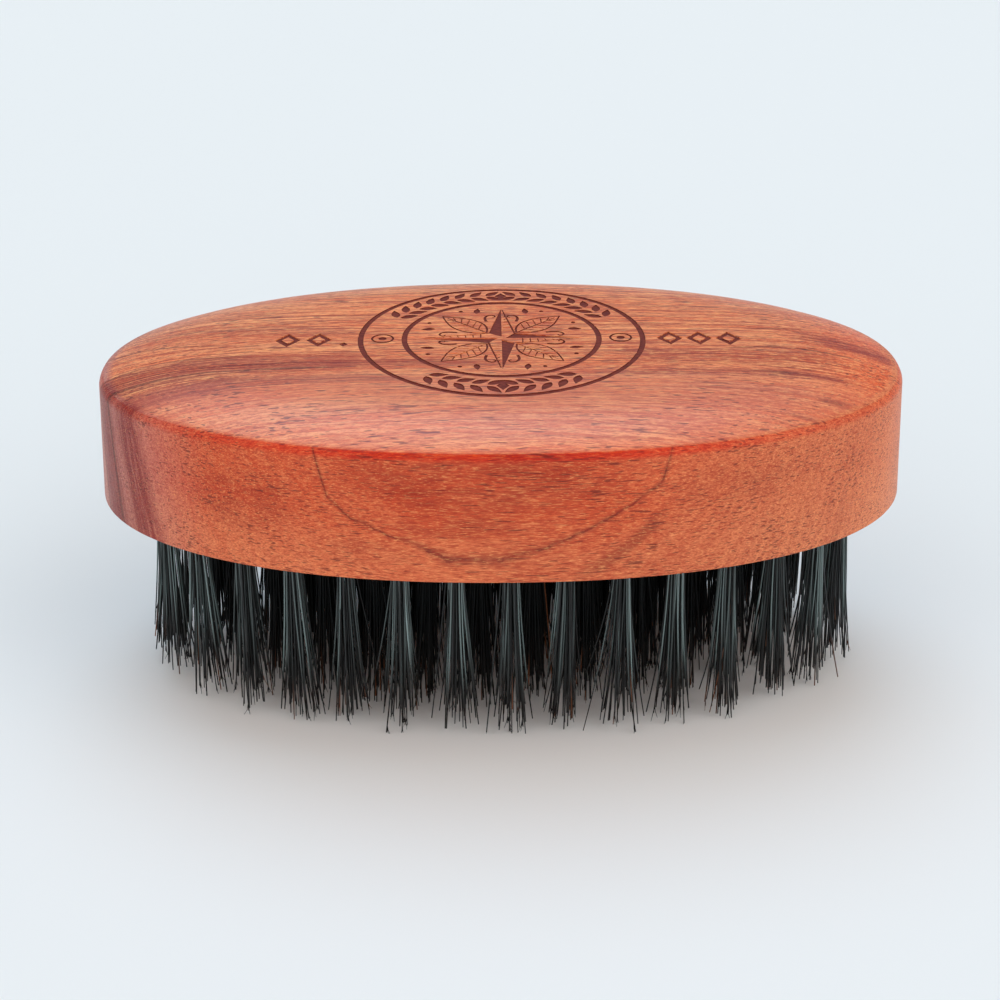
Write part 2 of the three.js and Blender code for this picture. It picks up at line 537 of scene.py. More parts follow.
def build_block(places, wood, burned):
    """The block with its holes and its engraving, whose floor is a material of its own."""
    vertices, faces = skin(block_loops(), (0, 0, UNDERSIDE), (0, 0, crown_height(0, 0)))
    block = make_object("wood_block_oiled", vertices, faces, [wood, burned])
    subtract(block, hole_cutter(places))
    engrave_crown(block)
    for face in block.data.polygons:
        face.material_index = 1 if is_cut_in(*face.center / MM) else 0
    shade_smooth(block, 28)
    return block


# ================= tufts =================

def tuft_roots(rng):
    """Where each hair of a tuft leaves its hole, about the hole's middle."""
    index = np.arange(BRISTLES_PER_TUFT)
    spread = TUFT_ROOT_RADIUS * np.sqrt((index + 0.5) / BRISTLES_PER_TUFT)
    golden_turn = math.pi * (3 - math.sqrt(5))
    around = index * golden_turn + rng.uniform(0, 0.6, BRISTLES_PER_TUFT)
    return np.stack([spread * np.cos(around), spread * np.sin(around)], 1)


def tip_offsets(root, rng):
    """How far each hair's tip has moved sideways. A tuft fans out, its hairs lean together in a few
    clumps that part from each other, and a few hairs stray on their own."""
    count = len(root)
    clumps = rng.normal(0, 0.6, (CLUMPS_PER_TUFT, 2)) * np.array([1.3, 1.0])
    apart = np.linalg.norm(root[:, None] * 0.75 - clumps[None], axis=2)
    nearest = np.argmin(apart + rng.normal(0, 0.12, apart.shape), axis=1)
    pull = rng.uniform(0.1, 0.5, (count, 1))
    offset = root * rng.normal(1.15, 0.35, (count, 1))
    offset += pull * (1.9 * clumps[nearest] - 0.6 * root)
    offset += rng.normal(0, 0.34, (count, 2)) + rng.normal(0, 0.3, (1, 2))
    stray = rng.random(count) < STRAY_SHARE
    offset[stray] += rng.normal(0, 1.9, (int(stray.sum()), 2))
    return offset


def tip_heights(count, rng):
    """Height of each hair's tip over the plane that the brush stands on. Most tips are close to it,
    many stop a few millimetres short of it, and some hairs are much shorter."""
    kind = rng.random(count)
    height = rng.uniform(0.1, 2.0, count)
    height = np.where(kind > 0.42, rng.uniform(1.8, 4.8, count), height)
    return np.where(kind > 0.86, rng.uniform(4.5, 8.0, count), height)


def bristle_paths(place, rng):
    """Middle lines of one tuft's hairs, as an array of hair, station and x, y, z."""
    root = tuft_roots(rng)
    count = len(root)
    offset = tip_offsets(root, rng)
    bend_power = rng.uniform(1.1, 2.0, (count, 1, 1))
    curl = rng.normal(0, 0.13, (count, 1, 2))
    hook = rng.normal(0, 0.3, (count, 1, 2)) * (rng.random((count, 1, 1)) < 0.3)
    tip = tip_heights(count, rng)

    stations = np.array([0, 0.12, 0.28, 0.44, 0.6, 0.75, 0.88, 1.0])
    t = stations[None, :, None]
    side = root[:, None] + offset[:, None] * t ** bend_power
    side = side + curl * np.sin(math.pi * t) + hook * np.maximum(0, t - 0.78) * 4
    z = UNDERSIDE + (tip[:, None] - UNDERSIDE) * stations[None]
    hidden_side = root[:, None] * 0.9
    hidden_z = np.full((count, 1), UNDERSIDE + HOLE_DEPTH - 1)
    side = np.concatenate([hidden_side, side], 1)
    z = np.concatenate([hidden_z, z], 1)
    path = np.concatenate([side + np.array([place.x, place.y]), z[..., None]], 2)
    return path, np.concatenate([[0], stations])


def split_tips(path, rng):
    """Two fine hairs at the end of some of the bristles."""
    chosen = np.flatnonzero(rng.random(len(path)) < SPLIT_SHARE)
    start = path[chosen, -2] * 0.35 + path[chosen, -1] * 0.65
    run = path[chosen, -1] - path[chosen, -2]
    run /= np.linalg.norm(run, axis=1, keepdims=True)
    hairs = []
    for _ in range(2):
        side = rng.normal(0, 0.28, (len(chosen), 3))
        length = rng.uniform(1.2, 2.2, (len(chosen), 1))
        middle = start + run * length * 0.5 + side * 0.35
        end = start + run * length + side
        hairs.append(np.stack([start, middle, end], 1))
    hairs = np.concatenate(hairs, 0)
    hairs[..., 2] = np.maximum(hairs[..., 2], LOWEST_TIP)
    return hairs


def tube_mesh(paths, radii):
    """Closed tubes along middle lines that run mostly down. Returns vertices and faces."""
    count, stations = paths.shape[:2]
    turn = 2 * math.pi * np.arange(BRISTLE_SIDES) / BRISTLE_SIDES
    ring = np.stack([np.cos(turn), -np.sin(turn), np.zeros(BRISTLE_SIDES)], 1)
    points = paths[:, :, None] + ring[None, None] * radii[..., None, None]
    vertices = points.reshape(-1, 3)
    faces = []
    per_tube = stations * BRISTLE_SIDES
    for b in range(count):
        first = b * per_tube
        faces.append(tuple(first + i for i in reversed(range(BRISTLE_SIDES))))
        for s in range(stations - 1):
            row = first + s * BRISTLE_SIDES
            for i in range(BRISTLE_SIDES):
                j = (i + 1) % BRISTLE_SIDES
                faces.append((row + i, row + j, row + BRISTLE_SIDES + j, row + BRISTLE_SIDES + i))
        end = first + per_tube - BRISTLE_SIDES
        faces.append(tuple(end + i for i in range(BRISTLE_SIDES)))
    return vertices, faces


def hair_colours(painted_lightness, along, rng):
    """For each point of each hair: its tone, which is the hair's painted light times a random share,
    how far along the hair it is, and how brown it is.
    """
    count, stations = len(painted_lightness), len(along)
    tone = np.repeat(painted_lightness * rng.random(count), stations)
    place = np.tile(along, count)
    brown_hair = rng.random(count) < BROWN_SHARE
    brown_tip = rng.random(count) < BROWN_TIP_SHARE
    from_place = rng.uniform(0.74, 0.95, count)
    tip_amount = np.clip((along[None] - from_place[:, None]) / 0.12, 0, 1) * brown_tip[:, None]
    brown = np.maximum(tip_amount * rng.uniform(0.4, 1, (count, 1)), brown_hair[:, None] * 0.8)
    return np.stack([tone, place, brown.reshape(-1), np.ones(count * stations)], 1)


def tuft_hairs(place, rng):
    """The bristles of one tuft, and the fine ends of the split ones. Each set is its middle lines, its
    radii, how far along a bristle its points lie, and how light its hairs may be, which is painted
    light."""
    path, along = bristle_paths(place, rng)
    taper = np.interp(along, [0, 0.75, 1], [1, 1, 0.7])
    radii = BRISTLE_RADIUS * rng.uniform(0.8, 1.15, (len(path), 1)) * taper[None]
    # The hairs on the outside of a tuft are painted lighter, a painted highlight, and the ones inside
    # it are painted dark, a painted shade.
    out = np.linalg.norm(path[:, 1, :2] - np.array([place.x, place.y]), axis=1) / TUFT_ROOT_RADIUS
    light = np.clip((out - 0.35) / 0.4, 0, 1)

    ends = split_tips(path, rng)
    end_radii = np.tile(np.array([0.6, 0.45, 0.25]) * BRISTLE_RADIUS, (len(ends), 1))
    # The split ends all get a middling share of the painted light.
    end_painted_light = np.full(len(ends), 0.3)
    end_along = np.array([0.93, 0.97, 1.0])
    return (path, radii, along, light), (ends, end_radii, end_along, end_painted_light)


def build_tuft(name, places, materials, rng):
    """One piece with the bristles of one tuft, or of two neighbouring tufts. The hairs have one
    material, and their worn ends another."""
    vertices, faces, colours = [], [], []
    total = 0
    for place in places:
        # light is each hair's painted light, from where it stands in its tuft.
        for paths, radii, along, light in tuft_hairs(place, rng):
            part_vertices, part_faces = tube_mesh(paths, radii)
            vertices.append(part_vertices)
            faces += [tuple(total + i for i in face) for face in part_faces]
            total += len(part_vertices)
            colours.append(np.repeat(hair_colours(light, along, rng), BRISTLE_SIDES, 0))
    piece = make_object(name, np.concatenate(vertices), faces, materials)
    shade_smooth(piece, 80)

    colours = np.concatenate(colours)
    attribute = piece.data.attributes.new("hair", "FLOAT_COLOR", "POINT")
    attribute.data.foreach_set("color", colours.astype(np.float32).ravel())
    first_point = np.array([min(face) for face in faces])
    tone, along = colours[first_point, 0], colours[first_point, 1]
    worn = along + tone * 0.2 > WORN_FROM
    piece.data.polygons.foreach_set("material_index", worn.astype(np.int32))
    return piece


# ================= materials =================

class Nodes:
    """A small wrapper that makes a node tree readable as formulas."""

    def __init__(self, tree):
        self.tree = tree

    def node(self, kind, **settings):
        made = self.tree.nodes.new(kind)
        for key, value in settings.items():
            setattr(made, key, value)
        return made

    def put(self, value, socket):
        """Sets a socket to a number or colour, or links another socket to it."""
        if isinstance(value, bpy.types.NodeSocket):
            self.tree.links.new(value, socket)
        else:
            socket.default_value = value

    def math(self, operation, *values):
        made = self.node("ShaderNodeMath", operation=operation)
        for i, value in enumerate(values):
            self.put(value, made.inputs[i])
        return made.outputs[0]

    def plus(self, a, b):
        return self.math("ADD", a, b)

    def minus(self, a, b):
        return self.math("SUBTRACT", a, b)

    def times(self, a, b):
        return self.math("MULTIPLY", a, b)

    def map_range(self, kind, *parts):
        made = self.node("ShaderNodeMapRange", interpolation_type=kind)
        for i, part in enumerate(parts):
            self.put(part, made.inputs[i])
        return made.outputs[0]

    def remap(self, value, low, high, to_low=0.0, to_high=1.0):
        """A smooth step of value from low to high."""
        return self.map_range("SMOOTHSTEP", value, low, high, to_low, to_high)

    def straight(self, value, low, high, to_low, to_high):
        """A straight line from low to high, which ends at both."""
        return self.map_range("LINEAR", value, low, high, to_low, to_high)

    def mix(self, factor, a, b, blend="MIX"):
        made = self.node("ShaderNodeMix", data_type="RGBA", blend_type=blend)
        self.put(factor, made.inputs[0])
        self.put(a, made.inputs[6])
        self.put(b, made.inputs[7])
        return made.outputs[2]

    def vector(self, x, y, z):
        made = self.node("ShaderNodeCombineXYZ")
        for i, value in enumerate((x, y, z)):
            self.put(value, made.inputs[i])
        return made.outputs[0]

    def split(self, vector):
        made = self.node("ShaderNodeSeparateXYZ")
        self.tree.links.new(vector, made.inputs[0])
        return list(made.outputs)

    def noise(self, vector, detail=2.0, roughness=0.5):
        made = self.node("ShaderNodeTexNoise")
        self.put(vector, made.inputs["Vector"])
        made.inputs["Scale"].default_value = 1.0
        made.inputs["Detail"].default_value = detail
        made.inputs["Roughness"].default_value = roughness
        return made.outputs[0]


class Shader(Nodes):
    """A material with one Principled surface."""

    def __init__(self, name):
        self.material = bpy.data.materials.new(name)
        self.material.use_nodes = True
        super().__init__(self.material.node_tree)
        self.surface = self.tree.nodes["Principled BSDF"]

    def coordinates(self):
        """x, y and z of the surface in the row's frame, in millimetres."""
        place = self.node("ShaderNodeTexCoord").outputs["Object"]
        return [self.times(axis, 1 / MM) for axis in self.split(place)]

    def grain(self, point, lengths, detail=2.0, roughness=0.5):
        """Noise that is stretched to the lengths in millimetres along each axis."""
        scaled = [self.math("DIVIDE", axis, length) for axis, length in zip(point, lengths)]
        return self.noise(self.vector(*scaled), detail, roughness)

    def bump(self, height, distance, strength):
        made = self.node("ShaderNodeBump")
        made.inputs["Distance"].default_value = distance
        made.inputs["Strength"].default_value = strength
        self.put(height, made.inputs["Height"])
        self.tree.links.new(made.outputs[0], self.surface.inputs["Normal"])


def rgb(red, green, blue):
    """A linear colour from the 0 to 255 values seen on a screen."""
    parts = [c / 255 for c in (red, green, blue)]
    linear = [c / 12.92 if c <= 0.04045 else ((c + 0.055) / 1.055) ** 2.4 for c in parts]
    return (*linear, 1.0)


# The wood's growth layers stand almost upright along the block. A layer that crosses the middle of
# the crown at some y comes out of the underside at y - CROWN_LAYER_SHIFT.
LAYER_SLANT = 4.98          # how far up a layer goes for each millimetre across
CROWN_LAYER_SHIFT = (CROWN_TOP - UNDERSIDE) / LAYER_SLANT
GRAIN_RELIEF = 0.06 * MM    # how deep the finest grain of the surface is

# Streaks, each along a straight line on the crown: its first x and y, its last x and y, its half
# width, and its strength. They run down the wall with their growth layers.
PURPLE_STREAKS = (
    (-74, -7.8, -14, -6.8, 3.0, 1.0),
    (-34, -7.4, 4, -7.6, 2.0, 0.7),
    (-70, -13.2, -30, -13.0, 2.3, 1.0),
    (-40, -12.8, -8, -12.4, 1.4, 0.75),
    (-68, 11.0, -28, 11.2, 1.6, 0.32),
    (38, 3.7, 68, -3.8, 2.3, 1.0),
    (33, -9.6, 48, -10.3, 1.4, 1.0),
    (40, -15.2, 47, -15.8, 0.9, 0.8),
)
RED_STREAKS = (
    (-74, -9.2, -24, -8.8, 4.2, 0.4),
    (12, -5.4, 48, -4.4, 3.2, 0.8),
    (19, -14.9, 44, -14.8, 2.0, 0.85),
    (10, -11.7, 42, -10.2, 1.5, 0.85),
    (-20, -16.5, 15, -17.5, 2.2, 0.35),
    (-56, 7.5, -18, 3.0, 2.6, 0.5),
    # This last wide one is painted shade: it dims the front of the crown's right part.
    (-6, -22.0, 66, -17.5, 7.5, 0.4),
)
DARK_LINES = (
    (-64, -6.6, -45, -3.9, 0.26, 0.7),
    (-46, -3.9, -32, -4.8, 0.24, 0.6),
    (-62, -9.0, -18, -8.9, 0.32, 0.75),
    (-64, 4.0, -34, -0.7, 0.26, 0.6),
    (-46, 6.0, -39, 6.0, 0.35, 0.5),
    (29, -3.0, 39, -1.7, 0.27, 0.8),
    (37, -1.8, 50, -3.0, 0.27, 0.8),
    (33, 4.3, 44, 5.8, 0.27, 0.75),
    (40, -15.6, 45, -15.6, 0.45, 0.7),
    (36, -19.5, 41, -19.6, 0.3, 0.6),
    (-26, -21.0, -12, -21.0, 0.24, 0.45),
    (-12, -23.8, 4, -23.8, 0.22, 0.4),
    (8, -26.3, 22, -26.2, 0.22, 0.4),
)
LIGHT_LINES = (
    (-64, -10.2, -32, -10.0, 1.0, 0.8),
    (-40, -2.4, -22, -2.6, 0.5, 0.5),
    (20, -8.3, 44, -7.6, 0.7, 0.5),
)
# The growth line that shows on the front wall as a long U: the x of each corner and its height over
# the underside, and the half width of the line there.
WALL_LINE = (
    (-23.8, 17.5, 0.12), (-22.2, 11.2, 0.14), (-19.3, 8.6, 0.15), (-13.8, 6.2, 0.16),
    (-10.2, 4.9, 0.22), (-7.0, 3.4, 0.42), (-0.4, 3.3, 0.34), (5.4, 5.0, 0.2), (11.2, 7.6, 0.17),
    (16.0, 10.4, 0.17), (19.8, 13.0, 0.15), (21.1, 17.5, 0.12),
)
# Smoky patches of the front wall, most of them inside the U: the x of the middle, its height over
# the underside, both half sizes, and the strength.
SMOKY_PATCHES = (
    (-3.0, 15.0, 19.0, 6.0, 0.55),
    (-10.0, 12.2, 4.5, 2.4, 0.75),
    (3.0, 13.2, 6.5, 2.2, 0.5),
    (-6.0, 8.0, 9.0, 2.2, 0.45),
    (-18.0, 4.0, 8.0, 2.0, 0.3),
    (-33.0, 9.5, 7.0, 5.0, 0.5),
    (30.0, 12.0, 9.0, 3.0, 0.3),
)


def streak_mask(s, wood, streaks):
    """How deep inside any of the streaks a point lies, from 0 to 1."""
    mask = 0.0
    for x0, y0, x1, y1, half_width, strength in streaks:
        first, last = y0 - CROWN_LAYER_SHIFT, y1 - CROWN_LAYER_SHIFT
        middle = s.straight(wood.x, x0, x1, first, last)
        away = s.math("ABSOLUTE", s.minus(wood.layer, middle))
        streak = s.remap(away, half_width * 1.2, half_width * 0.35, 0.0, strength)
        fade = min(7.0, (x1 - x0) / 3)
        start = s.remap(wood.x, x0, x0 + fade)
        end = s.remap(wood.x, x1, x1 - fade)
        mask = s.math("MAXIMUM", mask, s.times(streak, s.times(start, end)))
    return mask


def away_from_piece(s, x, height, start, end):
    """How far a point of the wall is from one straight piece of the U, in half widths of the line."""
    (x0, z0, w0), (x1, z1, w1) = start, end
    length = math.hypot(x1 - x0, z1 - z0)
    along_x, along_z = (x1 - x0) / length, (z1 - z0) / length
    from_x = s.minus(x, x0)
    from_z = s.minus(height, z0)
    along = s.plus(s.times(from_x, along_x), s.times(from_z, along_z))
    across = s.minus(s.times(from_z, along_x), s.times(from_x, along_z))
    beyond = s.math("MAXIMUM", s.times(along, -1.0), s.minus(along, length))
    away = s.math("MAXIMUM", s.math("ABSOLUTE", across), beyond)
    return s.math("DIVIDE", away, s.straight(along, 0.0, length, w0, w1))


def wall_line_mask(s, wood):
    """The long U on the front wall, which is blotchy and a little wobbly, with a faint halo."""
    blotches = s.grain((wood.x, wood.y, wood.height), (2.2, 8, 1.6), detail=3)
    wobble = s.times(s.minus(blotches, 0.5), 1.1)
    wavy_height = s.plus(wood.height, wobble)
    away = away_from_piece(s, wood.x, wavy_height, *WALL_LINE[:2])
    for start, end in zip(WALL_LINE[1:], WALL_LINE[2:]):
        away = s.math("MINIMUM", away, away_from_piece(s, wood.x, wavy_height, start, end))
    core = s.times(s.remap(away, 1.5, 0.5), s.remap(blotches, 0.35, 0.6, 0.5, 0.85))
    halo = s.remap(away, 3.6, 1.0, 0.0, 0.35)
    return s.times(s.math("MAXIMUM", core, halo), s.remap(wood.y, -20, -24))


def smoky_mask(s, wood):
    """Soft dark patches on the front wall, broken up along the grain."""
    mask = 0.0
    for middle_x, middle_height, half_x, half_height, strength in SMOKY_PATCHES:
        along = s.math("DIVIDE", s.minus(wood.x, middle_x), half_x)
        up = s.math("DIVIDE", s.minus(wood.height, middle_height), half_height)
        away = s.plus(s.times(along, along), s.times(up, up))
        mask = s.math("MAXIMUM", mask, s.remap(away, 1.3, 0.0, 0.0, strength))
    smoke = s.grain((wood.x, wood.y, wood.height), (5, 9, 1.3), detail=4)
    mask = s.times(mask, s.remap(smoke, 0.36, 0.62, 0.25, 1.2))
    return s.times(mask, s.remap(wood.y, -16, -20))


def oval_reach(s, x, y):
    """How far out a point lies, from 0 in the middle to 1 at the top of the wall."""
    along = s.math("POWER", s.math("ABSOLUTE", s.math("DIVIDE", x, TOP_HALF_LENGTH)), OUTLINE_POWER)
    across = s.math("POWER", s.math("ABSOLUTE", s.math("DIVIDE", y, TOP_HALF_WIDTH)), OUTLINE_POWER)
    return s.math("POWER", s.plus(along, across), 1 / OUTLINE_POWER)


def rim_mask(s):
    """1 on the rim's rounding, found from how steeply the surface stands."""
    normal = s.node("ShaderNodeNewGeometry").outputs["Normal"]
    rise = s.split(normal)[2]
    return s.times(s.remap(rise, 0.06, 0.5), s.remap(rise, 0.88, 0.76))


class Wood:
    """What the wood's colours depend on: where a point of it lies, and the grain there."""

    def __init__(self, s):
        self.s = s
        x, y, z = here = s.coordinates()
        self.x, self.y = x, y
        self.height = s.minus(z, UNDERSIDE)
        self.on_wall = s.remap(oval_reach(s, x, y), 0.96, 0.985)
        self.on_crown = s.minus(1.0, self.on_wall)
        self.rim = rim_mask(s)

        straight_layer = s.minus(y, s.math("DIVIDE", self.height, LAYER_SLANT))
        wander = s.minus(s.grain(here, (11, 3.5, 8), detail=2), 0.5)
        wander = s.times(wander, self.by_face(1.3, 0.25))
        self.layer = s.plus(straight_layer, wander)

        layered = (x, self.layer, z)
        self.ribbons = s.grain(layered, (26, 0.6, 7), detail=5, roughness=0.62)
        self.lines = s.grain(layered, (32, 0.26, 7), detail=3, roughness=0.6)
        self.clouds = s.grain(here, (16, 6, 5), detail=4)
        self.flecks = s.grain(here, (2.2, 0.4, 0.3), detail=3, roughness=0.7)
        self.hairs = s.grain(here, (1.0, 0.12, 0.12), detail=2, roughness=0.65)
        self.pores = pore_mask(s, here)

    def by_face(self, crown, wall):
        """One value on the crown and another on the wall."""
        return self.s.straight(self.on_wall, 0, 1, crown, wall)


def pore_mask(s, here):
    """Short pores along the block, which are denser in some regions than in others."""
    pores = s.grain(here, (3.0, 0.36, 0.2), detail=1)
    regions = s.grain(here, (10, 4, 4), detail=2)
    limit = s.straight(regions, 0.35, 0.65, 0.68, 0.58)
    pore = s.times(s.minus(pores, limit), 11.0)
    return s.math("MINIMUM", s.math("MAXIMUM", pore, 0.0), 0.65)


def plain_wood(s, wood):
    """Golden to orange to a deeper red. The wall is paler at its foot, which is painted light bounced
    up from the floor, and redder towards its top. Its right end is paler, a painted sheen, and its left
    end greyer, a painted reflection, and the crown's right end is more orange."""
    ribboned = s.times(s.remap(wood.ribbons, 0.4, 0.6), wood.by_face(1.0, 0.5))
    colour = s.mix(ribboned, rgb(252, 161, 104), rgb(238, 118, 64))
    lined = s.times(s.remap(wood.lines, 0.48, 0.6), wood.by_face(0.85, 0.25))
    lined = s.times(lined, s.remap(wood.y, -9, -16, 1.0, 0.6))
    colour = s.mix(lined, colour, rgb(162, 54, 34))
    colour = s.mix(s.remap(wood.clouds, 0.44, 0.66, 0.0, 0.4), colour, rgb(208, 78, 36))

    # Painted light: the wall is paler at its foot, where light bounces up from the floor.
    wall_with_painted_bounce = s.mix(s.remap(wood.height, 1.0, 11.0), rgb(208, 97, 62), rgb(192, 42, 10))
    colour = s.mix(s.times(wood.on_wall, 0.75), colour, wall_with_painted_bounce)
    right_crown = s.times(s.remap(wood.x, 36, 52), wood.by_face(0.7, 0.0))
    colour = s.mix(right_crown, colour, rgb(232, 84, 26))
    # Painted sheen: the wall's right end is paler.
    painted_right_sheen = s.times(s.remap(wood.x, 12, 40), wood.by_face(0.0, 0.5))
    colour = s.mix(painted_right_sheen, colour, rgb(236, 150, 100))
    # Painted reflection: the wall's left end is greyer.
    painted_left_reflection = s.times(s.remap(wood.x, -36, -54), wood.by_face(0.05, 0.75))
    return s.mix(painted_left_reflection, colour, rgb(186, 134, 128))


def add_streaks(s, wood, colour):
    """Adds the streaks, which are bundles of thin lines, and the single lines. Returns the colour and
    how purple it is."""
    light = s.times(streak_mask(s, wood, LIGHT_LINES), s.remap(wood.lines, 0.6, 0.42))
    colour = s.mix(s.times(light, wood.on_crown), colour, rgb(252, 172, 104))
    inner = s.remap(wood.lines, 0.38, 0.56, 0.5, 1.0)
    red = s.times(streak_mask(s, wood, RED_STREAKS), inner)
    colour = s.mix(red, colour, (0.56, 0.32, 0.38, 1), "MULTIPLY")

    # The wall's right part is plain, so the purple streaks and the dark lines are faint there.
    plain_part = s.times(wood.on_wall, s.remap(wood.x, 20, 35))
    limit = s.straight(plain_part, 0, 1, 1.0, 0.12)
    purple = s.times(streak_mask(s, wood, PURPLE_STREAKS), inner)
    purple = s.times(purple, limit)
    colour = s.mix(purple, colour, (0.43, 0.14, 0.20, 1), "MULTIPLY")
    dark = s.times(streak_mask(s, wood, DARK_LINES), limit)
    return s.mix(dark, colour, (0.20, 0.10, 0.14, 1), "MULTIPLY"), purple


def add_wall_figure(s, wood, colour):
    """Adds the long U on the front wall and the smoky patches round it."""
    smoke = s.times(smoky_mask(s, wood), wood.on_wall)
    colour = s.mix(smoke, colour, (0.55, 0.34, 0.36, 1), "MULTIPLY")
    line = s.times(wall_line_mask(s, wood), wood.on_wall)
    return s.mix(line, colour, (0.24, 0.12, 0.22, 1), "MULTIPLY")


def add_fine_grain(s, wood, colour, purple):
    """Adds flecks, fine hair lines and dark pores, all along the block. The crown's front is calmer."""
    colour = s.mix(s.remap(wood.flecks, 0.5, 0.64, 0.0, 0.5), colour, rgb(158, 48, 28))
    bright = s.times(s.remap(wood.flecks, 0.48, 0.34), wood.by_face(0.5, 0.14))
    bright = s.times(bright, s.minus(1.0, purple))
    colour = s.mix(bright, colour, rgb(255, 182, 112))
    colour = s.mix(s.remap(wood.hairs, 0.5, 0.68, 0.0, 0.55), colour, rgb(150, 46, 26))
    colour = s.mix(s.remap(wood.hairs, 0.46, 0.3, 0.0, 0.42), colour, rgb(255, 176, 110))
    calm = s.times(s.remap(wood.y, -9, -16, 0.0, 0.35), wood.on_crown)
    colour = s.mix(calm, colour, rgb(214, 108, 72))
    return s.mix(wood.pores, colour, rgb(88, 26, 24))


def paint_rim_shade(s, wood, colour):
    """Around the rim the wood is painted a deeper red, a painted shade where the rounding reflects no
    sheen.
    """
    # Painted shade on the rim, broken by the flecks and deepest in the middle of the long sides.
    rim_shade = s.times(wood.rim, s.remap(wood.flecks, 0.3, 0.6, 0.55, 1.0))
    rim_shade = s.times(rim_shade, s.remap(s.math("ABSOLUTE", wood.x), 46, 14, 0.5, 1.0))
    return s.mix(rim_shade, colour, (0.98, 0.24, 0.0, 1), "MULTIPLY")


def finish_wood(s, wood):
    """The crown has a coat of wax, which is thickest near the front. The sides are dull."""
    waxed = s.times(s.remap(wood.y, -6, -15, 0.25, 0.8), wood.on_crown)
    waxed = s.times(waxed, s.minus(1.0, wood.rim))
    s.put(waxed, s.surface.inputs["Coat Weight"])
    s.surface.inputs["Coat Roughness"].default_value = 0.34
    s.surface.inputs["Specular IOR Level"].default_value = 0.22
    s.put(s.remap(wood.hairs, 0.3, 0.75, 0.36, 0.5), s.surface.inputs["Roughness"])
    grooves = s.plus(wood.pores, s.remap(wood.hairs, 0.4, 0.8, 0.0, 0.4))
    s.bump(s.times(grooves, -1.0), GRAIN_RELIEF, 0.6)


def wood_material():
    """Oiled hardwood. Streaks and lines follow the growth layers, and pores run along the block."""
    s = Shader("oiled_hardwood")
    wood = Wood(s)
    colour, purple = add_streaks(s, wood, plain_wood(s, wood))
    colour = add_wall_figure(s, wood, colour)
    colour = add_fine_grain(s, wood, colour, purple)
    s.put(paint_rim_shade(s, wood, colour), s.surface.inputs["Base Color"])
    finish_wood(s, wood)
    return s.material


def burned_material():
    s = Shader("burned_engraving")
    soot = s.grain(s.coordinates(), (0.8, 0.3, 0.3), detail=3)
    colour = s.mix(s.remap(soot, 0.3, 0.7), rgb(96, 32, 24), rgb(132, 52, 36))
    s.put(colour, s.surface.inputs["Base Color"])
    s.surface.inputs["Roughness"].default_value = 0.75
    s.surface.inputs["Specular IOR Level"].default_value = 0.3
    s.bump(soot, GRAIN_RELIEF, 0.5)
    return s.material


def bristle_material(name, shine, light_hair):
    """Dark natural hair, near black at its worn end, with a brown hair or tip here and there.
    light_hair, the colour of the lightest hairs, is a painted highlight on the outer tufts and painted
    shade on the inner ones.
    """
    s = Shader(name)
    hair = s.node("ShaderNodeAttribute", attribute_name="hair")
    parts = s.node("ShaderNodeSeparateColor")
    s.tree.links.new(hair.outputs["Color"], parts.inputs[0])
    tone, along, brown = parts.outputs
    tone = s.math("POWER", tone, 2.2)
    colour = s.mix(tone, rgb(3, 5, 6), light_hair)
    colour = s.mix(s.remap(along, 0.5, 0.88), colour, s.mix(tone, rgb(4, 4, 4), rgb(26, 20, 16)))
    colour = s.mix(brown, colour, rgb(120, 70, 40))
    s.put(colour, s.surface.inputs["Base Color"])
    s.surface.inputs["Specular IOR Level"].default_value = shine
    s.put(s.straight(tone, 0.0, 1.0, 0.45, 0.26), s.surface.inputs["Roughness"])
    return s.material


def floor_material():
    s = Shader("pale_floor")
    cloud = s.grain(s.coordinates(), (300, 300, 300), detail=1)
    colour = s.mix(cloud, rgb(235, 233, 228), rgb(238, 236, 231))
    s.put(colour, s.surface.inputs["Base Color"])
    s.surface.inputs["Roughness"].default_value = 0.9
    s.surface.inputs["Specular IOR Level"].default_value = 0.2
    return s.material


# ================= stage, lights and camera =================

def build_stage():
    size = 4000
    corners = [(-size, -size, 0), (size, -size, 0), (size, size, 0), (-size, size, 0)]
    floor = make_object("floor", corners, [(0, 1, 2, 3)], [floor_material()])


FRONT_SKY = (1.40, 1.42, 1.46, 1)
BACK_SKY = (0.26, 0.27, 0.27, 1)
SKY_BY_FLOOR = (0.80, 0.85, 0.89, 1)
# Each soft patch of sky: its azimuth from +Y towards +X, its elevation, the angles from its middle at
# which it starts and stops to fade, in degrees, and its colour. The first one is a dim ceiling high
# up in front, and the second one a cool soft light high up behind.
SOFT_PATCHES = (
    (180, 66, 8, 26, (0.30, 0.20, 0.14, 1)),
    (-14, 66, 14, 30, (1.72, 2.35, 3.00, 1)),
)


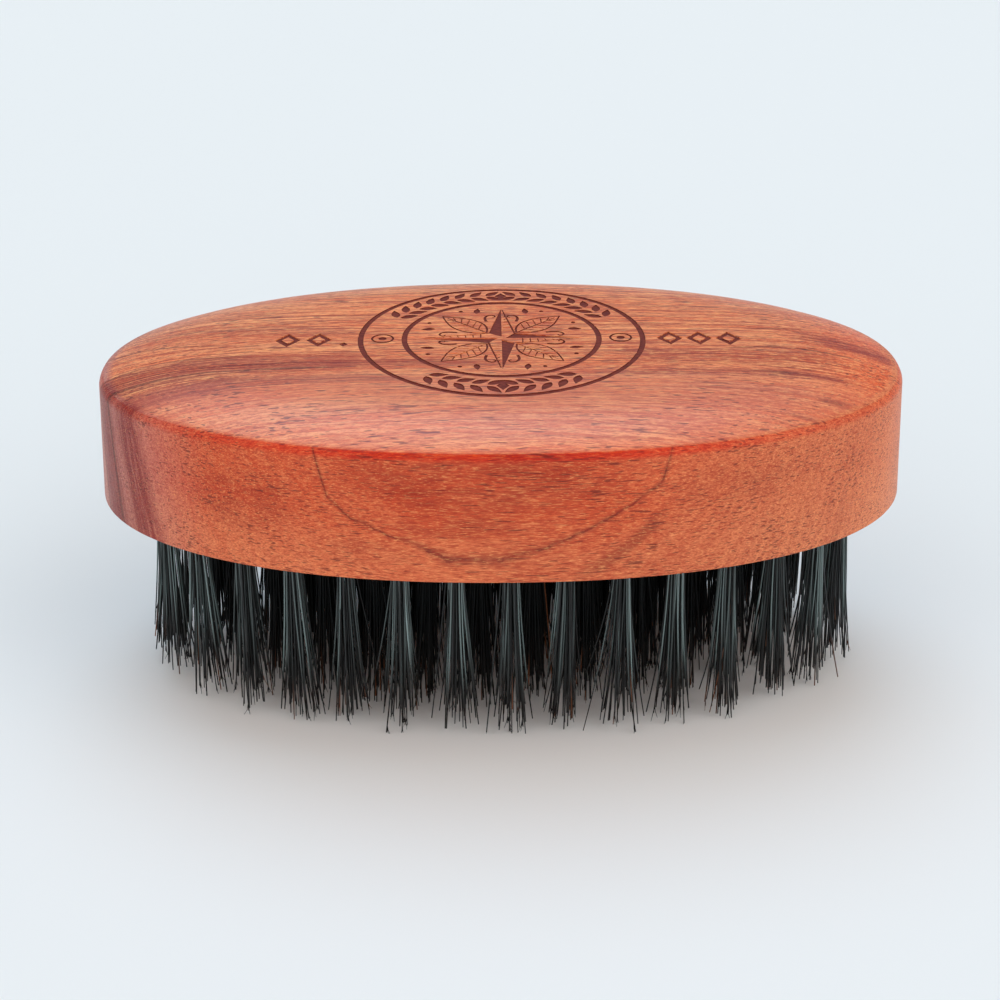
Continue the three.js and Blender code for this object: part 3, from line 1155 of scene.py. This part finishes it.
def build_lights():
    """A studio that is bright in front and dim behind, with a soft cool light high up behind, and as
    bright as the floor low down. The right side is brighter than the left."""
    world = bpy.data.worlds.new("studio")
    bpy.context.scene.world = world
    world.use_nodes = True
    s = Nodes(world.node_tree)
    direction = s.node("ShaderNodeTexCoord").outputs["Generated"]
    x, y, z = s.split(direction)
    sky = s.mix(s.remap(y, -0.2, 0.35), FRONT_SKY, BACK_SKY)
    side = s.plus(1.0, s.times(x, 0.26))
    sky = s.mix(1.0, sky, s.vector(side, side, side), "MULTIPLY")

    for azimuth, elevation, inner, outer, colour in SOFT_PATCHES:
        a, e = math.radians(azimuth), math.radians(elevation)
        closeness = s.node("ShaderNodeVectorMath", operation="DOT_PRODUCT")
        s.put(direction, closeness.inputs[0])
        toward = (math.sin(a) * math.cos(e), math.cos(a) * math.cos(e), math.sin(e))
        closeness.inputs[1].default_value = toward
        edge, middle = math.cos(math.radians(outer)), math.cos(math.radians(inner))
        sky = s.mix(s.remap(closeness.outputs["Value"], edge, middle), sky, colour)
    sky = s.mix(s.remap(z, 0.25, 0.08), sky, SKY_BY_FLOOR)
    s.put(sky, world.node_tree.nodes["Background"].inputs["Color"])


# The camera's place was found from the block's outline, rim and rings, in millimetres and degrees.
CAMERA_DISTANCE = 297.05
CAMERA_HEIGHT_AIM = 7.92        # above the underside, the height that the distance is measured from
CAMERA_ELEVATION = 24.362
CAMERA_PITCH = 26.30
CAMERA_ROLL = 0.129
CAMERA_TURN = 0.531
CAMERA_SIDE = -0.187
CAMERA_LENS = 77.39


def build_camera():
    data = bpy.data.cameras.new("camera")
    data.lens = CAMERA_LENS
    data.sensor_width = 36
    camera = bpy.data.objects.new("camera", data)
    elevation = math.radians(CAMERA_ELEVATION)
    pitch = math.radians(CAMERA_PITCH)
    place = Vector((
        CAMERA_SIDE,
        -CAMERA_DISTANCE * math.cos(elevation),
        UNDERSIDE + CAMERA_HEIGHT_AIM + CAMERA_DISTANCE * math.sin(elevation),
    ))
    turn = Matrix.Rotation(math.radians(-CAMERA_TURN), 4, "Z")
    tilt = Matrix.Rotation(math.pi / 2 - pitch, 4, "X")
    roll = Matrix.Rotation(math.radians(-CAMERA_ROLL), 4, "Z")
    camera.matrix_world = turn @ Matrix.Translation(place * MM) @ tilt @ roll
    data.clip_start = 0.01
    bpy.context.scene.collection.objects.link(camera)
    bpy.context.scene.camera = camera


# ================= assembly =================

def build_brush():
    tuft_nodes = sorted(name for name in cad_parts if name.startswith("tuft"))
    roots = {name: root_places(name) for name in tuft_nodes}
    every_root = [place for places in roots.values() for place in places]

    block = build_block(every_root, wood_material(), burned_material())
    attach(block, "root")
    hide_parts("wood_block")

    # The outer tufts' grey-green hairs are a painted highlight. The inner tufts are painted near black
    # and given less shine: painted shade.
    outer_hair = bristle_material("natural_bristle", 0.5, rgb(128, 146, 144))
    shaded_inner_hair = bristle_material("natural_bristle_painted_shade", 0.25, rgb(16, 22, 23))
    worn_hair = bristle_material("natural_bristle_worn", 0.12, rgb(26, 26, 26))
    for number, (node, places) in enumerate(roots.items()):
        rng = np.random.default_rng(SEED + number)
        hair = outer_hair if "outer" in node else shaded_inner_hair
        tuft = build_tuft(node.replace("tuft", "bristles"), places, [hair, worn_hair], rng)
        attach(tuft, "root")
        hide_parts(node)


bpy.context.scene.view_settings.view_transform = "Standard"
build_brush()
build_stage()
build_lights()
build_camera()
